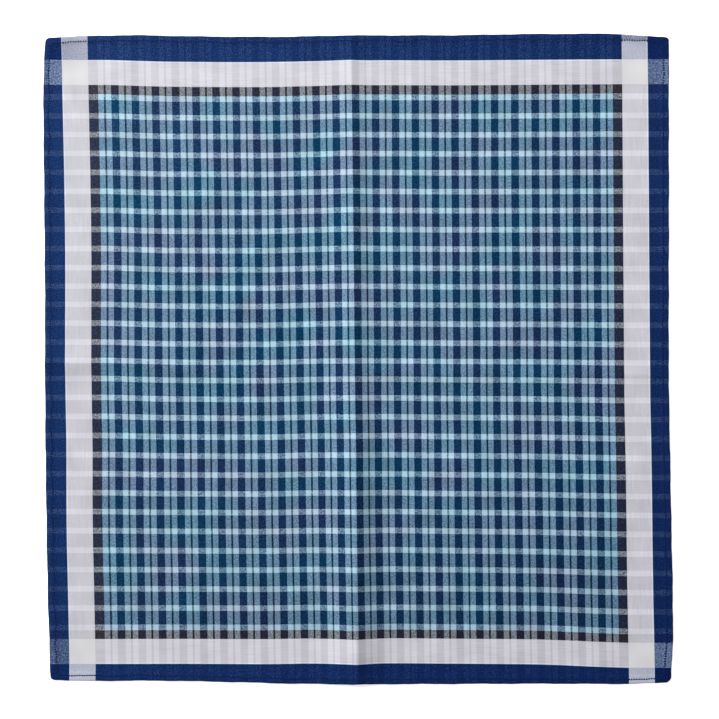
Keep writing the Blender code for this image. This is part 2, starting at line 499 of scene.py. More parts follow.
class StitchSizes(bpy.types.PropertyGroup):
    """The machine stitches of the hem."""

    pitch: size_setting("Pitch", "From one stitch to the next", 0.00165)
    length: size_setting("Length", "Length of a stitch that shows", 0.00108)
    # The width takes in the dimple: the dark bead is wider than the thread, as painted shade of the
    # dimple
    width: size_setting("Width", "Width of a stitch, with the dimple it pulls", 0.00125)
    height: size_setting("Height", "Height of the pulled-down thread", 0.00034)


class StageSettings(bpy.types.PropertyGroup):
    """The floor, the lights and the camera."""

    view_width: size_setting("View width", "Width of floor that the camera sees", 0.47454)
    camera_height: size_setting("Camera height", "Camera above the floor", 1.3)
    camera_offset: pair_setting(
        "Camera offset", "Where on the floor the camera looks", 0.00086, -0.0004
    )
    key_power: bpy.props.FloatProperty(
        name="Key light", description="Power of the soft light from the upper left", default=340.0,
        unit="POWER",
    )
    top_power: bpy.props.FloatProperty(
        name="Top light", description="Power of the soft light beyond the top side", default=9.0,
        unit="POWER",
    )
    room_light: bpy.props.FloatProperty(
        name="Room light", description="Strength of the even light of the room", default=0.16,
    )
    floor_glow: bpy.props.FloatProperty(
        name="Floor glow", description="Light that the white floor lets through from below",
        default=0.72,
    )


def smooth_slopes(along, value):
    """Slopes for a curve through given values that never swings past them."""
    rise = numpy.diff(value) / numpy.diff(along)
    before = rise[:-1]
    after = rise[1:]
    both = before + after
    divisor = numpy.where(both == 0.0, 1.0, both)
    inner = numpy.where(before * after > 0.0, 2.0 * before * after / divisor, 0.0)
    return numpy.concatenate(([rise[0]], inner, [rise[-1]]))


def follow(rows, field, place):
    """Read one column of a table at a place along it, on a smooth curve through its rows."""
    along = numpy.array([row.along for row in rows])
    value = numpy.array([getattr(row, field) for row in rows])
    slope = smooth_slopes(along, value)
    place = numpy.clip(place, along[0], along[-1])
    start = numpy.clip(numpy.searchsorted(along, place, side="right") - 1, 0, len(rows) - 2)
    gap = along[start + 1] - along[start]
    share = (place - along[start]) / gap
    ease = share * share * (3.0 - 2.0 * share)
    leave = share * (1.0 - share) ** 2
    arrive = share * share * (share - 1.0)
    level = value[start] + (value[start + 1] - value[start]) * ease
    return level + gap * (leave * slope[start] + arrive * slope[start + 1])


def waver(waves, along):
    """Add up a few waves at a place along a side."""
    return sum(
        wave.size * numpy.sin((along + wave.start) * 2.0 * numpy.pi / wave.length) for wave in waves
    )


def side_at(rows, along):
    """Where one side of the cloth runs, with its hem's slight waver."""
    return follow(rows, "out", along) + waver(HEM_WAVES, along)


def grid_lines(half_length):
    """Places from one side to the other: -1 and 1 are the sides, and 0 is a crease's crest."""
    from_side = [1.0 - line / half_length for line in SIDE_LINES]
    to_crest = [line / half_length for line in CREST_LINES]
    open_steps = round((from_side[-1] - to_crest[0]) * half_length / OPEN_STEP)
    open_lines = list(numpy.linspace(from_side[-1], to_crest[0], open_steps + 1)[1:-1])
    half = from_side + open_lines + to_crest
    return numpy.array([-place for place in half] + half[-2::-1])


def between_sides(place, low_side, crest, high_side):
    """Turn a grid place from -1 to 1 into a coordinate between two sides, through a crest."""
    side = numpy.where(place < 0.0, low_side, high_side)
    return crest + (side - crest) * numpy.abs(place)


def place_grid(columns, rows):
    """Find where the grid's points lie, seen from above, on the cloth with square corners."""
    across, up = numpy.meshgrid(columns, rows)
    x = across * HALF_WIDTH
    y = up * HALF_HEIGHT
    for _ in range(PLACING_ROUNDS):
        x = between_sides(
            across, side_at(LEFT_SIDE, y), follow(UPRIGHT_CREASE, "crest", y), side_at(RIGHT_SIDE, y)
        )
        y = between_sides(
            up, side_at(BOTTOM_SIDE, x), follow(LEVEL_CREASE, "crest", x), side_at(TOP_SIDE, x)
        )
    return x, y


def distance_to_sides(x, y):
    """Measure how far points lie from the nearer upright side and the nearer level side."""
    from_upright = numpy.minimum(x - side_at(LEFT_SIDE, y), side_at(RIGHT_SIDE, y) - x)
    from_level = numpy.minimum(y - side_at(BOTTOM_SIDE, x), side_at(TOP_SIDE, x) - y)
    return numpy.maximum(from_upright, 0.0), numpy.maximum(from_level, 0.0)


def turn_corners(x, y):
    """Draw the points near a corner onto the corner's arcs."""
    in_x, in_y = distance_to_sides(x, y)
    for corner in CORNERS:
        out_x = corner.radius - in_x
        out_y = corner.radius - in_y
        in_quarter = (x * corner.toward_x > 0.0) & (y * corner.toward_y > 0.0)
        inside = in_quarter & (out_x > 0.0) & (out_y > 0.0)
        reach = numpy.maximum(numpy.hypot(out_x, out_y), MILLIMETRE)
        pull = numpy.where(inside, 1.0 - numpy.maximum(out_x, out_y) / reach, 0.0)
        x = x - corner.toward_x * out_x * pull
        y = y - corner.toward_y * out_y * pull
    return x, y


def crease_height(crease, along, across):
    """Height of one crease over the surface: round at its crest, hollow down both flanks."""
    off_crest = across - follow(crease, "crest", along)
    reach = numpy.where(
        off_crest > 0.0, follow(crease, "reach_high", along), follow(crease, "reach_low", along)
    )
    soft = numpy.hypot(off_crest, CREST_ROUNDING) - CREST_ROUNDING
    share = numpy.minimum(soft / reach, 1.0)
    return follow(crease, "height", along) * (1.0 - share) ** 2


def swell_height(swell, x, y):
    """Height of one soft swell over the surface, level at its top and round its foot."""
    turn = radians(swell.turn)
    long_way = (x - swell.x) * numpy.cos(turn) + (y - swell.y) * numpy.sin(turn)
    short_way = (y - swell.y) * numpy.cos(turn) - (x - swell.x) * numpy.sin(turn)
    share = numpy.minimum(numpy.hypot(long_way / swell.half_long, short_way / swell.half_short), 1.0)
    return swell.height * (1.0 - share * share) ** 2


def ripple_height(x, y):
    """Slight unevenness of cloth that was smoothed out by hand."""
    def hump(one_x, one_y):
        total = 0.0
        for ripple in RIPPLES:
            place = Vector((one_x / ripple.spacing, one_y / ripple.spacing, ripple.layer))
            total += ripple.height * (0.5 + noise.noise(place))
        return max(total, 0.0)
    return numpy.vectorize(hump)(x, y)


def lie_height(x, y):
    """How far the cloth stands off the surface, without its hem."""
    upright = crease_height(UPRIGHT_CREASE, y, x)
    level = crease_height(LEVEL_CREASE, x, y)
    swell = numpy.max([swell_height(one, x, y) for one in SWELLS], axis=0)
    return numpy.hypot(upright, level) + swell + ripple_height(x, y)


def between_columns(rows, places, along, across):
    """Read a table at a place along it, straight from one of its columns to the next."""
    columns = [follow(rows, field, along) for field in rows[0]._fields[1:]]
    total = columns[0]
    for low, high, before, after in zip(places, places[1:], columns, columns[1:]):
        total = total + (after - before) * numpy.clip((across - low) / (high - low), 0.0, 1.0)
    return total


def weave_place(x, y):
    """Turn places seen from above into places on the even cloth, as it was on the loom."""
    lean = between_columns(WARP_LEAN, LEAN_PLACES, y, x)
    bow = between_columns(WEFT_BOW, BOW_PLACES, x, y)
    u = x - lean - follow(WARP_PUSH, "push", x)
    v = y - bow - follow(WEFT_PUSH, "push", y)
    return u, v


# The cloth's points by row and column: where they lie, the heights of face and back, their
# places on the loom and their distance from the edge
ClothPlan = namedtuple("ClothPlan", "x y face back u v from_edge")


def plan_cloth():
    """Work out where the cloth's points lie."""
    x, y = place_grid(grid_lines(HALF_WIDTH), grid_lines(HALF_HEIGHT))
    from_edge = numpy.minimum(*distance_to_sides(x, y))
    u, v = weave_place(x, y)
    x, y = turn_corners(x, y)
    lie = lie_height(x, y)
    face = lie + follow(HEM_SECTION, "face", from_edge)
    back = lie + follow(HEM_SECTION, "back", from_edge)
    return ClothPlan(x, y, face, back, u, v, from_edge)


def lay_face(shape, plan):
    """Lay a grid to the cloth's outline and creases, and mark its rows and columns."""
    row_steps = plan.x.shape[0] - 1
    column_steps = plan.x.shape[1] - 1
    bmesh.ops.create_grid(shape, x_segments=column_steps, y_segments=row_steps, size=0.5)
    column_mark = shape.verts.layers.int.new("column")
    row_mark = shape.verts.layers.int.new("row")
    edge_mark = shape.verts.layers.float.new("from_edge")
    for point in shape.verts:
        column = round((point.co.x + 0.5) * column_steps)
        row = round((point.co.y + 0.5) * row_steps)
        point[column_mark] = column
        point[row_mark] = row
        point[edge_mark] = plan.from_edge[row, column] * MILLIMETRE
        point.co = (plan.x[row, column], plan.y[row, column], plan.face[row, column])


def give_back(shape, plan):
    """Close the face into a thin sheet, with the cloth's back under it."""
    column_mark = shape.verts.layers.int["column"]
    row_mark = shape.verts.layers.int["row"]
    made = bmesh.ops.extrude_face_region(shape, geom=shape.faces[:], use_keep_orig=True)
    for item in made["geom"]:
        if isinstance(item, bmesh.types.BMVert):
            item.co.z = plan.back[item[row_mark], item[column_mark]]


def map_weave(shape, plan):
    """Give the sheet a map of its places on the loom."""
    weave_map = shape.loops.layers.uv.new("weave")
    column_mark = shape.verts.layers.int["column"]
    row_mark = shape.verts.layers.int["row"]
    for flat in shape.faces:
        flat.smooth = True
        for corner in flat.loops:
            row = corner.vert[row_mark]
            column = corner.vert[column_mark]
            corner[weave_map].uv = (plan.u[row, column] * MILLIMETRE, plan.v[row, column] * MILLIMETRE)


def set_order(parts, place):
    """Put points or faces in the order of their places, which some operators leave open."""
    for count, part in enumerate(sorted(parts, key=place)):
        part.index = count
    parts.sort()


def finished_mesh(shape, name):
    """Keep a finished shape as a mesh that is in the same order each time."""
    set_order(shape.verts, lambda point: point.co[:])
    set_order(shape.faces, lambda flat: flat.calc_center_median()[:])
    mesh = bpy.data.meshes.new(name)
    shape.to_mesh(mesh)
    shape.free()
    return mesh


def cloth_mesh():
    """Make the cloth: a grid laid to its outline and creases, given a back, and mapped."""
    plan = plan_cloth()
    shape = bmesh.new()
    lay_face(shape, plan)
    give_back(shape, plan)
    map_weave(shape, plan)
    for mark in ("column", "row"):
        shape.verts.layers.int.remove(shape.verts.layers.int[mark])
    bmesh.ops.scale(shape, vec=(MILLIMETRE, MILLIMETRE, MILLIMETRE), verts=shape.verts)
    bmesh.ops.recalc_face_normals(shape, faces=shape.faces)
    return finished_mesh(shape, "handkerchief_cloth")


class ShaderDraft:
    """One material's nodes, added and joined up as they are named."""

    def __init__(self, name):
        self.material = bpy.data.materials.new(name)
        self.material.use_nodes = True
        self.nodes = self.material.node_tree.nodes
        self.links = self.material.node_tree.links
        self.shader = self.nodes["Principled BSDF"]

    def fill(self, socket, value):
        """Join a socket to another one, or set its value."""
        if isinstance(value, bpy.types.NodeSocket):
            self.links.new(value, socket)
        else:
            socket.default_value = value

    def math(self, operation, first, second=0.0, third=0.0):
        """Work out one number from up to three."""
        node = self.nodes.new("ShaderNodeMath")
        node.operation = operation
        for socket, value in zip(node.inputs, (first, second, third)):
            self.fill(socket, value)
        return node.outputs[0]

    def mix(self, share, low, high, way="MIX"):
        """Mix two colours."""
        node = self.nodes.new("ShaderNodeMix")
        node.data_type = "RGBA"
        node.blend_type = way
        self.fill(node.inputs[MIX_SHARE], share)
        self.fill(node.inputs[LOW_COLOUR], low)
        self.fill(node.inputs[HIGH_COLOUR], high)
        return node.outputs[MIXED_COLOUR]

    def choose(self, test, otherwise, value):
        """Take one number where the test is 1, and the other where it is 0."""
        node = self.nodes.new("ShaderNodeMix")
        node.data_type = "FLOAT"
        self.fill(node.inputs[MIX_SHARE], test)
        self.fill(node.inputs[LOW_NUMBER], otherwise)
        self.fill(node.inputs[HIGH_NUMBER], value)
        return node.outputs[MIXED_NUMBER]

    def power(self, colour, exponent):
        """Raise a colour to a power."""
        node = self.nodes.new("ShaderNodeGamma")
        self.fill(node.inputs["Color"], colour)
        self.fill(node.inputs["Gamma"], exponent)
        return node.outputs["Color"]

    def grey(self, colour):
        """The lightness of a colour."""
        node = self.nodes.new("ShaderNodeRGBToBW")
        self.fill(node.inputs[0], colour)
        return node.outputs[0]

    def place(self, x, y, z=0.0):
        """Put three numbers together as a place."""
        node = self.nodes.new("ShaderNodeCombineXYZ")
        for socket, value in zip(node.inputs, (x, y, z)):
            self.fill(socket, value)
        return node.outputs[0]

    def patches(self, place, detail=0.0):
        """Soft noise from 0 to 1, one patch for each unit of the place."""
        node = self.nodes.new("ShaderNodeTexNoise")
        self.fill(node.inputs["Vector"], place)
        node.inputs["Scale"].default_value = 1.0
        node.inputs["Detail"].default_value = detail
        return node.outputs["Fac"]

    def about_one(self, noise_value, swing):
        """Turn noise from 0 to 1 into a factor about 1."""
        return self.math("MULTIPLY_ADD", noise_value, 2.0 * swing, 1.0 - swing)

    def tint(self, colour, factor):
        """Multiply a colour by a number."""
        return self.mix(1.0, colour, self.place(factor, factor, factor), "MULTIPLY")


# Places on the cloth that its finish is drawn from: the weave map, yarn counts, how the yarns
# swing over and under, and distances
Weave = namedtuple("Weave", "u v warp_count weft_count warp_swing weft_swing across up from_edge")

# Parts of the cloth, each 1 inside and 0 outside. One band is a satin band clear of the corners
Zones = namedtuple(
    "Zones", "check side end corner satin one_band right bottom charcoal_cross white_cross right_white"
)


def weave_places(draft, sizes):
    """Read the weave map and count its yarns."""
    uv_map = draft.nodes.new("ShaderNodeUVMap")
    uv_map.uv_map = "weave"
    parts = draft.nodes.new("ShaderNodeSeparateXYZ")
    draft.links.new(uv_map.outputs[0], parts.inputs[0])
    u = draft.math("MULTIPLY", parts.outputs[0], 1.0 / MILLIMETRE)
    v = draft.math("MULTIPLY", parts.outputs[1], 1.0 / MILLIMETRE)
    warp_yarn = sizes.warp_repeat / sizes.warp_yarns / MILLIMETRE
    weft_yarn = sizes.weft_repeat / sizes.weft_yarns / MILLIMETRE
    warp_count = draft.math("DIVIDE", u, warp_yarn)
    weft_count = draft.math("DIVIDE", v, weft_yarn)
    warp_swing = draft.math("SINE", draft.math("MULTIPLY", warp_count, numpy.pi))
    weft_swing = draft.math("SINE", draft.math("MULTIPLY", weft_count, numpy.pi))
    across = draft.math("ABSOLUTE", yarn_middle(draft, warp_count, warp_yarn))
    up = draft.math("ABSOLUTE", yarn_middle(draft, weft_count, weft_yarn))
    edge = draft.nodes.new("ShaderNodeAttribute")
    edge.attribute_name = "from_edge"
    from_edge = draft.math("MULTIPLY", edge.outputs["Fac"], 1.0 / MILLIMETRE)
    return Weave(u, v, warp_count, weft_count, warp_swing, weft_swing, across, up, from_edge)


def yarn_middle(draft, count, yarn):
    """The place of the middle of the yarn that a point lies in."""
    whole = draft.math("FLOOR", count)
    return draft.math("MULTIPLY_ADD", whole, yarn, 0.5 * yarn)


def past(draft, place, limit):
    """1 where a place, in millimetres, lies past a limit, in metres."""
    return draft.math("GREATER_THAN", place, limit / MILLIMETRE)


def within(draft, place, limit):
    """1 where a place, in millimetres, lies short of a limit, in metres."""
    return draft.math("LESS_THAN", place, limit / MILLIMETRE)


def cloth_zones(draft, weave, sizes):
    """Mark the check, the satin bands, and the places where bands cross."""
    check = draft.math(
        "MULTIPLY",
        within(draft, weave.across, sizes.check_half[0]),
        within(draft, weave.up, sizes.check_half[1]),
    )
    past_check = draft.math(
        "MULTIPLY",
        past(draft, weave.across, sizes.check_half[0]),
        past(draft, weave.up, sizes.check_half[1]),
    )
    side = past(draft, weave.across, sizes.charcoal_half[0])
    end = past(draft, weave.up, sizes.charcoal_half[1])
    corner = draft.math("MULTIPLY", side, end)
    satin = draft.math("MAXIMUM", side, end)
    one_band = draft.math("SUBTRACT", satin, corner)
    right = past(draft, weave.u, 0.0)
    bottom = within(draft, weave.v, 0.0)
    charcoal_cross = draft.math("MAXIMUM", draft.math("SUBTRACT", past_check, satin), 0.0)
    white_side = draft.math("MULTIPLY", side, within(draft, weave.across, sizes.white_half[0]))
    white_end = draft.math("MULTIPLY", end, within(draft, weave.up, sizes.white_half[1]))
    white_cross = draft.math("MULTIPLY", white_side, white_end)
    right_white = draft.math("MULTIPLY", right, white_side)
    return Zones(
        check, side, end, corner, satin, one_band, right, bottom, charcoal_cross, white_cross,
        right_white,
    )


def cloth_patches(draft, weave, spacing, layer=0.0, detail=0.0):
    """Soft noise from -0.5 to 0.5 over the cloth, its patches one spacing apart."""
    place = draft.place(
        draft.math("DIVIDE", weave.u, spacing), draft.math("DIVIDE", weave.v, spacing), layer
    )
    return draft.math("SUBTRACT", draft.patches(place, detail), 0.5)


def banded(draft, colour, place, halves, yarns):
    """Lay the charcoal, white and navy border bands round a check's colour."""
    check_half, charcoal_half, white_half, cord = halves
    white = draft.mix(past(draft, place, white_half - cord), yarns.white, yarns.cord)
    colour = draft.mix(past(draft, place, check_half), colour, yarns.charcoal)
    colour = draft.mix(past(draft, place, charcoal_half), colour, white)
    return draft.mix(past(draft, place, white_half), colour, yarns.border)


def warp_colour(draft, weave, sizes, yarns):
    """The colour of the warp yarn at a place."""
    from_navy = draft.math("PINGPONG", weave.across, 0.5 * sizes.warp_repeat / MILLIMETRE)
    on_navy = within(draft, from_navy, 0.5 * sizes.navy_stripe)
    on_thin = past(draft, from_navy, 0.5 * (sizes.warp_repeat - sizes.thin_stripe))
    colour = draft.mix(on_navy, yarns.light, yarns.navy)
    colour = draft.mix(on_thin, colour, yarns.black)
    halves = (sizes.check_half[0], sizes.charcoal_half[0], sizes.white_half[0], sizes.cord_line)
    return banded(draft, colour, weave.across, halves, yarns)


def weft_colour(draft, weave, sizes, yarns):
    """The colour of the weft yarn at a place."""
    from_light = draft.math("PINGPONG", weave.up, 0.5 * sizes.weft_repeat / MILLIMETRE)
    on_light = within(draft, from_light, 0.5 * sizes.light_stripe)
    colour = draft.mix(on_light, yarns.blue, yarns.pale)
    halves = (sizes.check_half[1], sizes.charcoal_half[1], sizes.white_half[1], sizes.cord_line)
    return banded(draft, colour, weave.up, halves, yarns)


def yarn_streaks(draft, colour, count, along):
    """Vary a yarn's colour from yarn to yarn and, slowly, along it."""
    whole = draft.math("FLOOR", count)
    place = draft.place(
        draft.math("MULTIPLY", whole, YARN_STEP), draft.math("DIVIDE", along, STREAK_LENGTH)
    )
    return draft.tint(colour, draft.about_one(draft.patches(place), STREAK_SWING))


def satin_spots(draft, weave):
    """A number that peaks at 2 where a satin binds its floats."""
    turn = 2.0 * numpy.pi / SATIN_SHAFTS
    warp = draft.math("SUBTRACT", weave.warp_count, 0.5)
    weft = draft.math("SUBTRACT", weave.weft_count, 0.5)
    one_way = draft.math("MULTIPLY_ADD", weft, SATIN_STEP, warp)
    other_way = draft.math("MULTIPLY_ADD", warp, SATIN_STEP, draft.math("MULTIPLY", weft, -1.0))
    one_wave = draft.math("COSINE", draft.math("MULTIPLY", one_way, turn))
    other_wave = draft.math("COSINE", draft.math("MULTIPLY", other_way, turn))
    return draft.math("ADD", one_wave, other_wave)


def corner_weave(draft, weave, zones, sizes, fleck):
    """From which number of the binding pattern the weft shows in the border's corners."""
    spot = {}
    for kind in CornerWeave._fields:
        top = draft.choose(zones.right, getattr(TOP_LEFT_WEAVE, kind), getattr(TOP_RIGHT_WEAVE, kind))
        bottom = draft.choose(
            zones.right, getattr(BOTTOM_LEFT_WEAVE, kind), getattr(BOTTOM_RIGHT_WEAVE, kind)
        )
        spot[kind] = draft.choose(zones.bottom, top, bottom)
    on_navy = past(draft, weave.across, sizes.white_half[0])
    in_hem = within(draft, weave.from_edge, sizes.hem_width)
    open_spot = draft.choose(on_navy, spot["white"], spot["navy"])
    hem_spot = draft.choose(on_navy, spot["white_hem"], spot["navy_hem"])
    level = draft.choose(in_hem, open_spot, hem_spot)
    return draft.math("MULTIPLY_ADD", fleck, CORNER_SPECKLE, level)


def bind_yarns(draft, weave, zones, sizes):
    """1 where the weft lies on top of the warp: plain weave in the check, satin in the bands."""
    fleck = cloth_patches(draft, weave, FLECK_SPACING)
    plain = draft.math("MULTIPLY", weave.warp_swing, weave.weft_swing)
    plain_weft = draft.math("GREATER_THAN", plain, draft.math("MULTIPLY", fleck, PLAIN_SPECKLE))
    spots = satin_spots(draft, weave)
    corner_spot = corner_weave(draft, weave, zones, sizes, fleck)
    side_weft = draft.math("GREATER_THAN", spots, draft.choose(zones.corner, SIDE_SPOT, corner_spot))
    end_weft = draft.math("LESS_THAN", spots, draft.choose(zones.bottom, TOP_SPOT, BOTTOM_SPOT))
    return draft.choose(zones.side, draft.choose(zones.end, plain_weft, end_weft), side_weft)


def yarn_on_top(draft, weave, zones, sizes, yarns, weft_on_top):
    """The colour of the yarn on top, darkened a little by the one that it hides: partly that yarn's
    colour, partly painted shade between the yarns, grey in the satin bands.
    """
    # Painted shade between the yarns, with some of the hidden yarn's colour, darkens the yarn on top
    end_bleed_and_shade = draft.choose(zones.bottom, TOP_BLEED_AND_SHADE, BOTTOM_BLEED_AND_SHADE)
    bleed_and_shade = draft.choose(zones.side, draft.choose(zones.end, PLAIN_BLEED_AND_SHADE, end_bleed_and_shade), SIDE_BLEED_AND_SHADE)
    warp_bleed_and_shade = draft.choose(zones.corner, bleed_and_shade, CORNER_WARP_BLEED_AND_SHADE)
    weft_bleed_and_shade = draft.choose(zones.corner, bleed_and_shade, CORNER_WEFT_BLEED_AND_SHADE)
    warp = yarn_streaks(draft, warp_colour(draft, weave, sizes, yarns), weave.warp_count, weave.v)
    weft = yarn_streaks(draft, weft_colour(draft, weave, sizes, yarns), weave.weft_count, weave.u)
    shade_grey_share = draft.math("MULTIPLY_ADD", zones.corner, CORNER_SHADE_GREY, zones.one_band)
    weft_behind = draft.mix(shade_grey_share, weft, draft.grey(weft))
    warp_behind = draft.mix(zones.one_band, warp, draft.grey(warp))
    warp_seen = draft.mix(1.0, warp, draft.power(weft_behind, warp_bleed_and_shade), "MULTIPLY")
    weft_seen = draft.mix(1.0, weft, draft.power(warp_behind, weft_bleed_and_shade), "MULTIPLY")
    return draft.mix(weft_on_top, warp_seen, weft_seen)


def crossed_bands(draft, colour, zones, yarns):
    """Set the colours where two like bands cross, and paint light onto the right side's white band."""
    colour = draft.mix(zones.charcoal_cross, colour, yarns.charcoal_cross)
    colour = draft.mix(zones.white_cross, colour, yarns.white_cross)
    # Painted light: the right side's white band is lightened
    return draft.tint(colour, draft.choose(zones.right_white, 1.0, RIGHT_WHITE_PAINTED_LIGHT))


def flecked_and_shaded(draft, colour, weave, zones):
    """Fleck the cloth, and paint shade into its dark colours to the lower right and at the edge."""
    fleck = cloth_patches(draft, weave, FLECK_SPACING, detail=1.0)
    side_only = draft.math("MULTIPLY", zones.side, zones.one_band)
    swing = draft.choose(side_only, FLECK_SWING, SIDE_FLECK_SWING)
    swing = draft.choose(zones.check, swing, CHECK_FLECK_SWING)
    colour = draft.tint(colour, draft.math("MULTIPLY_ADD", fleck, swing, 1.0))
    # Painted shade: the dark colours deepen towards the lower right, where the light falls off
    painted_shade_depth = draft.math("MULTIPLY_ADD", weave.u, PAINTED_SHADE_ACROSS, 1.0)
    painted_shade_depth = draft.math("MULTIPLY_ADD", weave.v, PAINTED_SHADE_UP, painted_shade_depth)
    # Painted shade along the cloth's rounded edge, over a narrow width
    edge_shade_share = draft.math("MULTIPLY_ADD", weave.from_edge, -1.0 / EDGE_SHADE_WIDTH, 1.0)
    edge_shade_share = draft.math("MAXIMUM", edge_shade_share, 0.0)
    painted_shade_depth = draft.math("MULTIPLY_ADD", edge_shade_share, EDGE_PAINTED_SHADE, painted_shade_depth)
    return draft.power(colour, draft.math("MULTIPLY_ADD", fleck, DARK_FLECK_SWING, painted_shade_depth))


def clouded(draft, colour, weave, zones):
    """Lighten and darken the cloth in soft clouds."""
    cloud = cloth_patches(draft, weave, CLOUD_SPACING, CLOUD_LAYER)
    swing = draft.choose(zones.check, BAND_CLOUD_SWING, CLOUD_SWING)
    return draft.tint(colour, draft.math("MULTIPLY_ADD", cloud, swing, 1.0))


def uneven_dye_and_painted_shade(draft, colour, weave, zones):
    """Let the check's dye go from teal to plum in patches, and paint shade near its lower side."""
    dye = cloth_patches(draft, weave, DYE_SPACING, DYE_LAYER, detail=1.0)
    plum = draft.math("MULTIPLY_ADD", dye, DYE_CONTRAST, 0.5)
    plum = draft.math("MINIMUM", draft.math("MAXIMUM", plum, 0.0), 1.0)
    lightness = draft.math("DIVIDE", draft.grey(colour), LIGHTEST_DARK)
    darkness = draft.math("MAXIMUM", draft.math("SUBTRACT", 1.0, lightness), 0.0)
    light_cast = draft.mix(plum, TEAL_CAST, PLUM_CAST)
    dark_cast = draft.mix(plum, DARK_TEAL_CAST, DARK_PLUM_CAST)
    cast = draft.mix(darkness, light_cast, dark_cast)
    # Painted shade: the check darkens towards its lower side
    painted_shade_share = draft.math("MULTIPLY_ADD", weave.v, PAINTED_SHADE_GAIN, CHECK_PAINTED_LIGHT_BASE)
    painted_shade_share = draft.math("MINIMUM", painted_shade_share, LIGHTEST_PAINTED_CHECK)
    check = draft.tint(draft.mix(1.0, colour, cast, "MULTIPLY"), painted_shade_share)
    return draft.mix(zones.check, colour, check)


def yarn_relief(draft, weave, zones, weft_on_top):
    """How high the yarns stand: pillows in the plain weave, ribs in the satin."""
    warp_rib = draft.math("ABSOLUTE", weave.warp_swing)
    weft_rib = draft.math("ABSOLUTE", weave.weft_swing)
    rib = draft.choose(weft_on_top, warp_rib, weft_rib)
    return draft.choose(zones.satin, draft.math("MULTIPLY", warp_rib, weft_rib), rib)


def cloth_material(sizes, yarns):
    """Fine yarn-dyed cotton: a plain-woven check inside closer satin border bands."""
    draft = ShaderDraft("yarn_dyed_cotton")
    weave = weave_places(draft, sizes)
    zones = cloth_zones(draft, weave, sizes)
    weft_on_top = bind_yarns(draft, weave, zones, sizes)
    colour = yarn_on_top(draft, weave, zones, sizes, yarns, weft_on_top)
    colour = crossed_bands(draft, colour, zones, yarns)
    colour = flecked_and_shaded(draft, colour, weave, zones)
    colour = clouded(draft, colour, weave, zones)
    colour = uneven_dye_and_painted_shade(draft, colour, weave, zones)
    bump = draft.nodes.new("ShaderNodeBump")
    bump.inputs["Strength"].default_value = RELIEF_STRENGTH
    bump.inputs["Distance"].default_value = YARN_RELIEF
    draft.fill(bump.inputs["Height"], yarn_relief(draft, weave, zones, weft_on_top))
    shader = draft.shader
    draft.fill(shader.inputs["Base Color"], colour)
    draft.fill(shader.inputs["Roughness"], draft.choose(zones.satin, PLAIN_ROUGHNESS, SATIN_ROUGHNESS))
    draft.fill(shader.inputs["Normal"], bump.outputs[0])
    shader.inputs["Specular IOR Level"].default_value = COTTON_SPECULAR
    shader.inputs["Sheen Weight"].default_value = COTTON_SHEEN
    shader.inputs["Sheen Roughness"].default_value = SHEEN_ROUGHNESS
    return draft.material


def show(name, mesh, material):
    """Put a finished mesh in the scene as one piece of the cloth's body."""
    mesh.materials.append(material)
    piece = bpy.data.objects.new(name, mesh)
    bpy.context.scene.collection.objects.link(piece)
    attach(piece, "root")
    return piece


class WeaveCloth(bpy.types.Operator):
    """Make the handkerchief's cloth, with its hems, creases and woven pattern"""

    bl_idname = "handkerchief.weave_cloth"
    bl_label = "Weave the cloth"

    def execute(self, context):
        scene = context.scene
        material = cloth_material(scene.handkerchief_sizes, scene.handkerchief_yarns)
        cloth = show("cotton_cloth", cloth_mesh(), material)
        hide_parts(CLOTH_NODE)
        return {"FINISHED"}


def bead_mesh(sizes):
    """Make one stitch: a short, flat bead of thread that runs along +X."""
    shape = bmesh.new()
    upright = Euler((0.0, radians(90.0), 0.0)).to_matrix().to_4x4()
    bmesh.ops.create_uvsphere(
        shape, u_segments=STITCH_FACETS, v_segments=STITCH_RINGS, radius=0.5, matrix=upright
    )
    # The bead's width takes in the painted shade of the dimple it pulls
    bmesh.ops.scale(shape, vec=(sizes.length, sizes.width, sizes.height), verts=shape.verts)
    for flat in shape.faces:
        flat.smooth = True
    bmesh.ops.recalc_face_normals(shape, faces=shape.faces)
    return finished_mesh(shape, "stitch_bead")


def scatter(number, size):
    """A small shift either way that looks random and is the same each time."""
    place = Vector((number * SCATTER_STEP, number / SCATTER_STEP, SCATTER_LAYER))
    return size * 2.0 * noise.noise(place)


def seam_line(seam, crossed, pitch):
    """One place for each stitch of a seam: along its side, across it, and in from the edge."""
    first = float(follow(crossed[0], "out", seam.outward * HALF_HEIGHT)) + seam.inset_start
    last = float(follow(crossed[1], "out", seam.outward * HALF_HEIGHT)) - seam.inset_start
    count = int((last - first) / pitch)
    share = (numpy.arange(count) + 0.5) / count
    along = first + share * (last - first)
    inset = seam.inset_start + (seam.inset_end - seam.inset_start) * share
    inset = inset + seam.wander * waver(SEAM_WAVES, along)
    return along, side_at(seam.side, along) - seam.outward * inset, inset


def sew_seam(shape, bead, seam, x, y, inset):
    """Lay one seam's stitches on the cloth."""
    top = lie_height(x, y) + follow(HEM_SECTION, "face", inset) + STITCH_LIFT
    run_x = numpy.gradient(x)
    run_y = numpy.gradient(y)
    size = Matrix.Diagonal((seam.long, seam.wide, 1.0, 1.0))
    for number, place in enumerate(zip(x, y, top)):
        run = atan2(run_y[number], run_x[number]) + scatter(number, radians(STITCH_TURN))
        stitch = bead.copy()
        stitch.transform(
            Matrix.Translation(Vector(place) * MILLIMETRE) @ Matrix.Rotation(run, 4, "Z") @ size
        )
        shape.from_mesh(stitch)
        bpy.data.meshes.remove(stitch)


